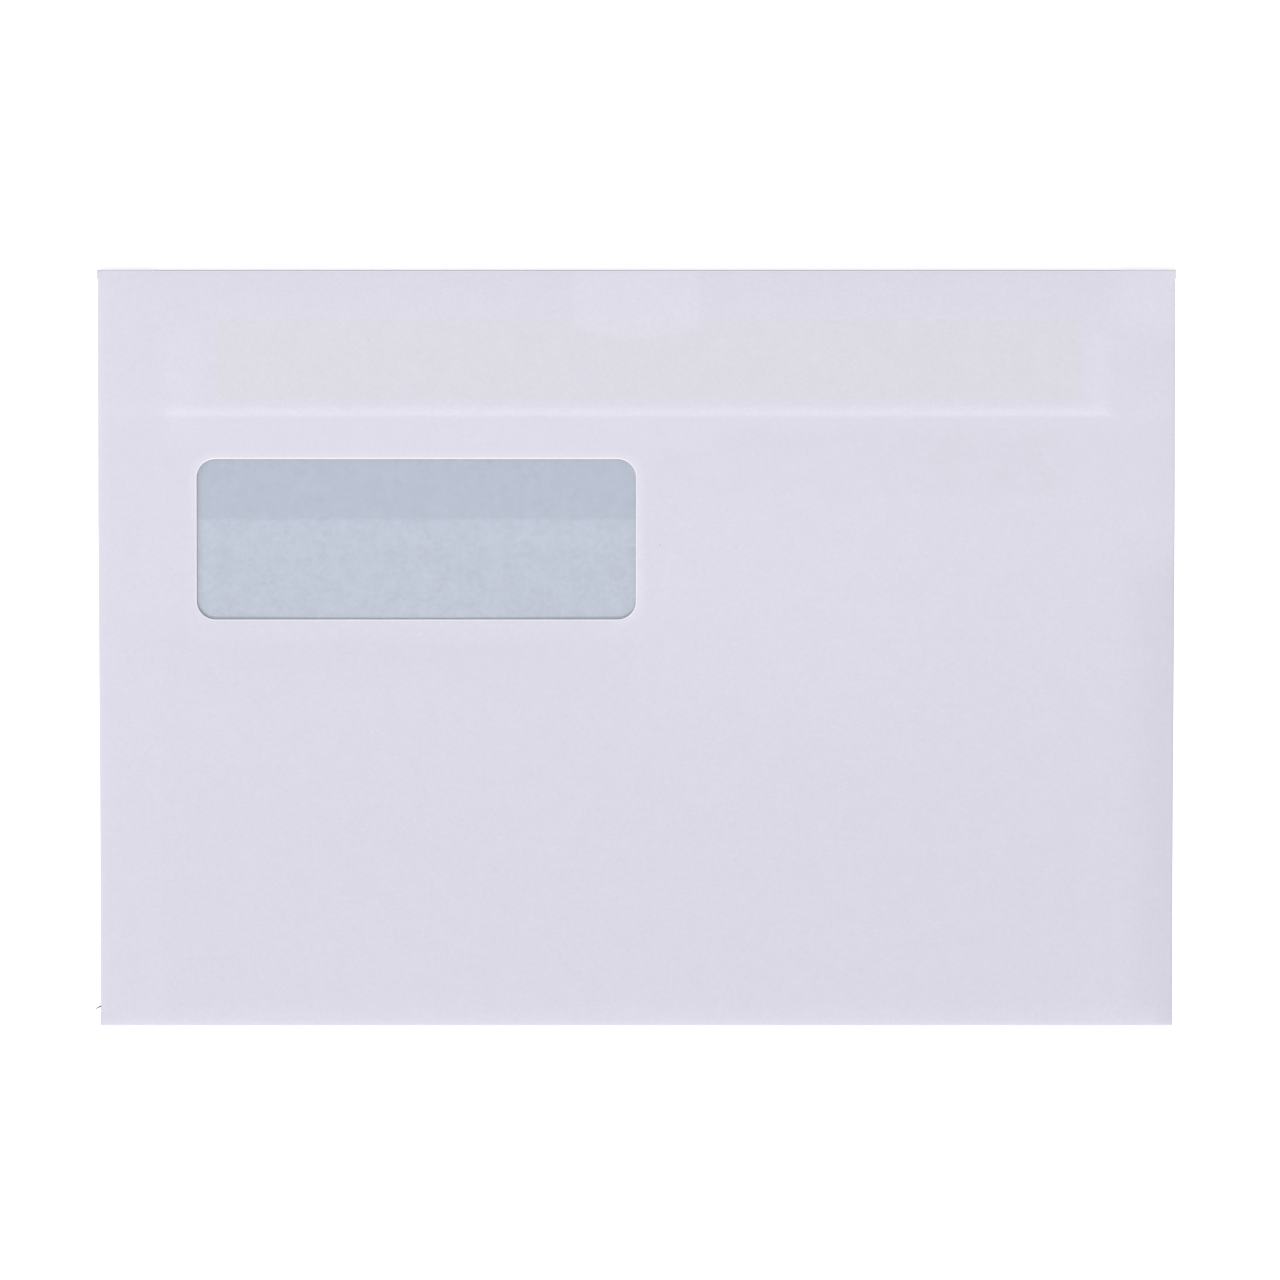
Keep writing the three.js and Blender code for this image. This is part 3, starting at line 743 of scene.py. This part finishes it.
def backHalf(y):
    bottomHalf = foldHalf(bottomY) + envelope["bottomStandOut"]
    return lerp(bottomHalf, foldHalf(y) - flaps["backInset"], clamp((y - bottomFoldY) / flaps["backSlant"]))


def backRows():
    rampTop = counterEdgeY - flaps["backRampLead"]
    rampLow = rampTop - flaps["backRamp"]
    ys = [bottomFoldY] + steps(bottomFoldY, bottomFoldY + flaps["backSlant"], layout["backSlantRows"])
    ys += spread(ys[-1], rampLow, layout["backRow"])
    ys += steps(rampLow, rampTop, layout["rampRows"])
    ys += spread(rampTop, throatFoldY, layout["backRow"])
    return panelRows(ys, backHeight, backHalf)


def counterHalf(y):
    tipHalf, baseHalf = halfWidth - flaps["counterTipInset"], halfWidth - flaps["counterBaseInset"]
    return flapHalf(y, counterEdgeY, throatFoldY, tipHalf, baseHalf, flaps["counterCorner"])


def counterRows():
    tip = [counterEdgeY + distance for distance in reversed(tipDistances(flaps["counterCorner"]))]
    ys = [throatFoldY] + spread(throatFoldY, tip[0], layout["backRow"]) + tip[1:]
    return panelRows(ys, lambda y: halfPaper, counterHalf)


def blankRows():
    topHalf = closingBaseHalf
    bottomHalf = foldHalf(bottomY) + envelope["bottomStandOut"]
    throatHalf = halfWidth - flaps["counterBaseInset"]
    quarter = math.pi / 2
    return (
        closingFlapRows()
        + foldRows(topFoldY, flapAtTop, envelope["topFold"], -quarter, 1, topHalf)
        + frontRows()
        + foldRows(bottomFoldY, halfPaper, envelope["bottomFold"], quarter, 1, bottomHalf)
        + backRows()
        + foldRows(throatFoldY, halfPaper, throatFold, quarter, -1, throatHalf)
        + counterRows()
    )


# column lines of the flat part of the blank, then the places in each side fold
def flatColumns():
    corner, fine, outer = window["corner"], layout["corner"], halfWidth - layout["edge"]
    columns = [-outer]
    pitch, notch = layout["column"], flaps["baseNotch"]
    for x, step in (
        (-closingBaseHalf - notch, pitch), (-closingBaseHalf, notch), (windowLeft, pitch),
        (windowLeft + corner, corner / fine), (windowRight - corner, pitch), (windowRight, corner / fine),
        (closingBaseHalf, pitch), (closingBaseHalf + notch, notch), (outer, pitch),
    ):
        columns += spread(columns[-1], x, step)
    return columns


# the place of one grid point of the blank in the folded envelope, in millimetres
def placeOnBlank(row, column, columns):
    order = column - sideColumns
    side = -1 if order < 0 else 1
    inFlat = 0 <= order < len(columns)
    if "start" not in row:
        x = clamp(columns[order], -row["half"], row["half"]) if inFlat else side * row["half"]
        if "front" not in row:
            return (x, row["y"], row["z"])
        y = row["y"]
        if y == topFoldY and abs(x) > closingBaseHalf:  # cut edge beside the closing flap
            y = topY - envelope["bondGap"]
        return (x, y, frontHeight(x, row["y"]))
    if inFlat:
        x = clamp(columns[order], -row["start"], row["start"])
        return (x, row["y"], frontHeight(x, row["y"]))
    step = -order - 1 if order < 0 else order - len(columns)
    distance = row["reach"] if step > layout["fold"] else step / layout["fold"] * math.pi * row["radius"]
    distance = min(distance, row["reach"])
    turned = min(distance / row["radius"], math.pi)
    flat = max(0.0, distance - math.pi * row["radius"])
    x = row["start"] + row["radius"] * math.sin(turned) - flat
    z = frontHeight(row["start"], row["y"]) - row["radius"] * (1 - math.cos(turned))
    return (side * x, row["y"], z)


# one grid makes the blank; its faces in the window and beside the top fold are cut away
def makePaper():
    rows, columns = blankRows(), flatColumns()
    across, along = len(columns) + 2 * sideColumns - 1, len(rows) - 1
    bm = bmesh.new()
    bmesh.ops.create_grid(bm, x_segments=across, y_segments=along, size=1.0)
    cutAway = []
    for face in bm.faces:
        middle = face.calc_center_median()
        column = int((middle.x + 1) / 2 * across)
        row = int((middle.y + 1) / 2 * along)
        low, high = rows[row], rows[row + 1]
        isFront = "front" in low and "front" in high
        face.material_index = 0 if isFront else 1
        face.smooth = True
        order = column - sideColumns
        inFlat = 0 <= order < len(columns) - 1
        x = (columns[order] + columns[order + 1]) / 2 if inFlat else math.inf
        y = (low["y"] + high["y"]) / 2
        inWindow = isFront and windowLeft < x < windowRight and windowLow < y < windowHigh
        besideTopFold = "front" not in low and "front" in high and abs(x) > closingBaseHalf
        if inWindow or besideTopFold:
            cutAway.append(face)
    bmesh.ops.delete(bm, geom=cutAway, context="FACES")
    for vert in bm.verts:
        column = round((vert.co.x + 1) / 2 * across)
        row = rows[round((vert.co.y + 1) / 2 * along)]
        place = placeOnBlank(row, column, columns)
        if vert.is_boundary and "start" in row:
            place = onWindowCorner(place)
        vert.co = Vector(place) * mm
    bmesh.ops.remove_doubles(bm, verts=bm.verts, dist=layout["joinWithin"] * mm)
    bmesh.ops.dissolve_degenerate(bm, edges=bm.edges, dist=layout["joinWithin"] * mm)
    bmesh.ops.recalc_face_normals(bm, faces=bm.faces)
    sheet = bpy.data.meshes.new("foldedPaperSheet")
    bm.to_mesh(sheet)
    bm.free()
    return sheet


# the window's four corners are round
def onWindowCorner(place):
    x, y, z = place
    corner, slack = window["corner"], layout["cornerSlack"]
    nearX = windowLeft - slack < x < windowRight + slack
    nearY = windowLow - slack < y < windowHigh + slack
    if not (nearX and nearY):
        return place
    middleX = clamp(x, windowLeft + corner, windowRight - corner)
    middleY = clamp(y, windowLow + corner, windowHigh - corner)
    away = math.hypot(x - middleX, y - middleY)
    if away <= corner or middleX == x or middleY == y:
        return place
    x = middleX + (x - middleX) * corner / away
    y = middleY + (y - middleY) * corner / away
    return (x, y, frontHeight(x, y))


# a sheet becomes a solid; inside and rim say how many slots further their materials are
def thickened(sheet, name, thickness, inside, rim):
    holder = bpy.data.objects.new(name + "Flat", sheet)
    bpy.context.scene.collection.objects.link(holder)
    shell = holder.modifiers.new("thickness", "SOLIDIFY")
    shell.thickness = thickness * mm
    shell.offset = 0.0
    shell.use_even_offset = True
    shell.material_offset = inside
    shell.material_offset_rim = rim
    graph = bpy.context.evaluated_depsgraph_get()
    solid = bpy.data.meshes.new_from_object(holder.evaluated_get(graph))
    bpy.data.objects.remove(holder)
    solid.set_sharp_from_angle(angle=math.radians(layout["sharpFrom"]))
    piece = bpy.data.objects.new(name, solid)
    bpy.context.scene.collection.objects.link(piece)
    return piece


paperSheet = makePaper()
tint, cutEdge = insideTint(), plainPaper("cutEdge", paperLook["edge"], paperLook["clouds"])
front, back = frontPaper(), plainPaper("backPaper", paperLook["back"], paperLook["clouds"])
for material in (front, back, tint, tint, cutEdge, cutEdge):  # in pairs, for the front and the rest
    paperSheet.materials.append(material)
paper = thickened(paperSheet, "foldedPaper", envelope["paper"], inside=2, rim=4)
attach(paper, "root")
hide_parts("envelope_blank")
print("paper:", len(paper.data.polygons), "faces")


# the clear film under the window, following the front
filmLook = {
    "colour": srgb(236, 240, 246), "clouds": ((3.0, 0.01),), "alpha": 0.16, "ior": 1.49,
    "rough": (0.12, 0.3), "grain": 6.0, "depth": 0.01, "pitch": 1.8, "cornerCuts": 4,
}


def clearFilm():
    material, nodes, links, shader = newMaterial("clearFilm")
    coordinates = objectPlaces(nodes)
    colour = mottled(nodes, links, filmLook["colour"], coordinates, filmLook["clouds"])
    links.new(colour, shader.inputs["Base Color"])
    shader.inputs["Alpha"].default_value = filmLook["alpha"]
    shader.inputs["IOR"].default_value = filmLook["ior"]
    grained(nodes, links, shader, coordinates, filmLook["grain"], filmLook["depth"], *filmLook["rough"])
    return material


def makeFilm():
    left, right = windowLeft - window["overlapSide"], windowRight + window["overlapSide"]
    low, high = windowLow - window["overlapBottom"], windowHigh + window["overlapTop"]
    across, along = round((right - left) / filmLook["pitch"]), round((high - low) / filmLook["pitch"])
    under = halfPaper + envelope["gum"] + window["film"] / 2
    bm = bmesh.new()
    bmesh.ops.create_grid(bm, x_segments=across, y_segments=along, size=1.0)
    corners = [vert for vert in bm.verts if len(vert.link_faces) == 1]
    for vert in bm.verts:
        vert.co.x = lerp(left, right, (vert.co.x + 1) / 2)
        vert.co.y = lerp(low, high, (vert.co.y + 1) / 2)
    bmesh.ops.bevel(
        bm, geom=corners, offset=window["filmCorner"], affect="VERTICES", segments=filmLook["cornerCuts"],
        profile=0.5, material=-1, offset_type="OFFSET",
    )
    for vert in bm.verts:
        x, y = vert.co.x, vert.co.y
        vert.co = Vector((x, y, frontHeight(x, y) - under)) * mm
    for face in bm.faces:
        face.smooth = True
    bmesh.ops.recalc_face_normals(bm, faces=bm.faces)
    sheet = bpy.data.meshes.new("filmSheet")
    bm.to_mesh(sheet)
    bm.free()
    return sheet


filmSheet = makeFilm()
filmSheet.materials.append(clearFilm())
film = thickened(filmSheet, "windowFilm", window["film"], inside=0, rim=0)
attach(film, "root")
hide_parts("window_film")
print("film:", len(film.data.polygons), "faces")


# a thin dark tapered strand sticks out of the notch at the lower left
stray = {
    "from": (-114.1, -76.35, 0.5), "to": (-115.55, -77.1, 0.36), "radius": 0.17, "tip": 0.5, "bend": 0.1,
    "sides": 8, "cuts": 7,
    "colour": srgb(44, 41, 38), "clouds": ((0.2, 0.2),), "grain": (0.1, 0.01, 0.6, 0.8),
}


def makeStray():
    bm = bmesh.new()
    bmesh.ops.create_cone(
        bm, cap_ends=True, segments=stray["sides"], radius1=stray["radius"],
        radius2=stray["radius"] * stray["tip"], depth=1.0,
    )
    ring = [edge for edge in bm.edges if abs(edge.verts[0].co.z - edge.verts[1].co.z) > 0.5]
    bmesh.ops.subdivide_edges(bm, edges=ring, cuts=stray["cuts"], use_grid_fill=True)
    start, end = Vector(stray["from"]), Vector(stray["to"])
    along = (end - start).normalized()
    aside = along.cross(Vector((0, 0, 1))).normalized()
    above = aside.cross(along)
    for vert in bm.verts:
        share = vert.co.z + 0.5
        middle = start.lerp(end, share) + above * stray["bend"] * math.sin(math.pi * share)
        vert.co = (middle + aside * vert.co.x + above * vert.co.y) * mm
    for face in bm.faces:
        face.smooth = True
    bmesh.ops.recalc_face_normals(bm, faces=bm.faces)
    shape = bpy.data.meshes.new("strayFibre")
    bm.to_mesh(shape)
    bm.free()
    fibre = bpy.data.objects.new("strayFibre", shape)
    bpy.context.scene.collection.objects.link(fibre)
    material, nodes, links, shader = newMaterial("darkFibre")
    coordinates = objectPlaces(nodes)
    colour = mottled(nodes, links, stray["colour"], coordinates, stray["clouds"])
    links.new(colour, shader.inputs["Base Color"])
    grained(nodes, links, shader, coordinates, *stray["grain"])
    shape.materials.append(material)
    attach(fibre, "root")


makeStray()
print("stray fibre is in")


# the latex strips keep the frame's shapes
latexLook = {
    "colour": srgb(233, 228, 207), "clouds": ((0.8, 0.01), (4.0, 0.02)), "grain": 0.4, "depth": 0.01,
    "rough": (0.45, 0.65),
}


def driedLatex():
    material, nodes, links, shader = newMaterial("driedLatex")
    coordinates = objectPlaces(nodes)
    colour = mottled(nodes, links, latexLook["colour"], coordinates, latexLook["clouds"])
    links.new(colour, shader.inputs["Base Color"])
    grained(nodes, links, shader, coordinates, latexLook["grain"], latexLook["depth"], *latexLook["rough"])
    return material


latexMaterial = driedLatex()
for node in ("closing_flap_latex", "counter_flap_latex"):
    strip = bpy.data.objects[node]
    strip.data.materials.clear()
    strip.data.materials.append(latexMaterial)
print("latex strips have their finish")
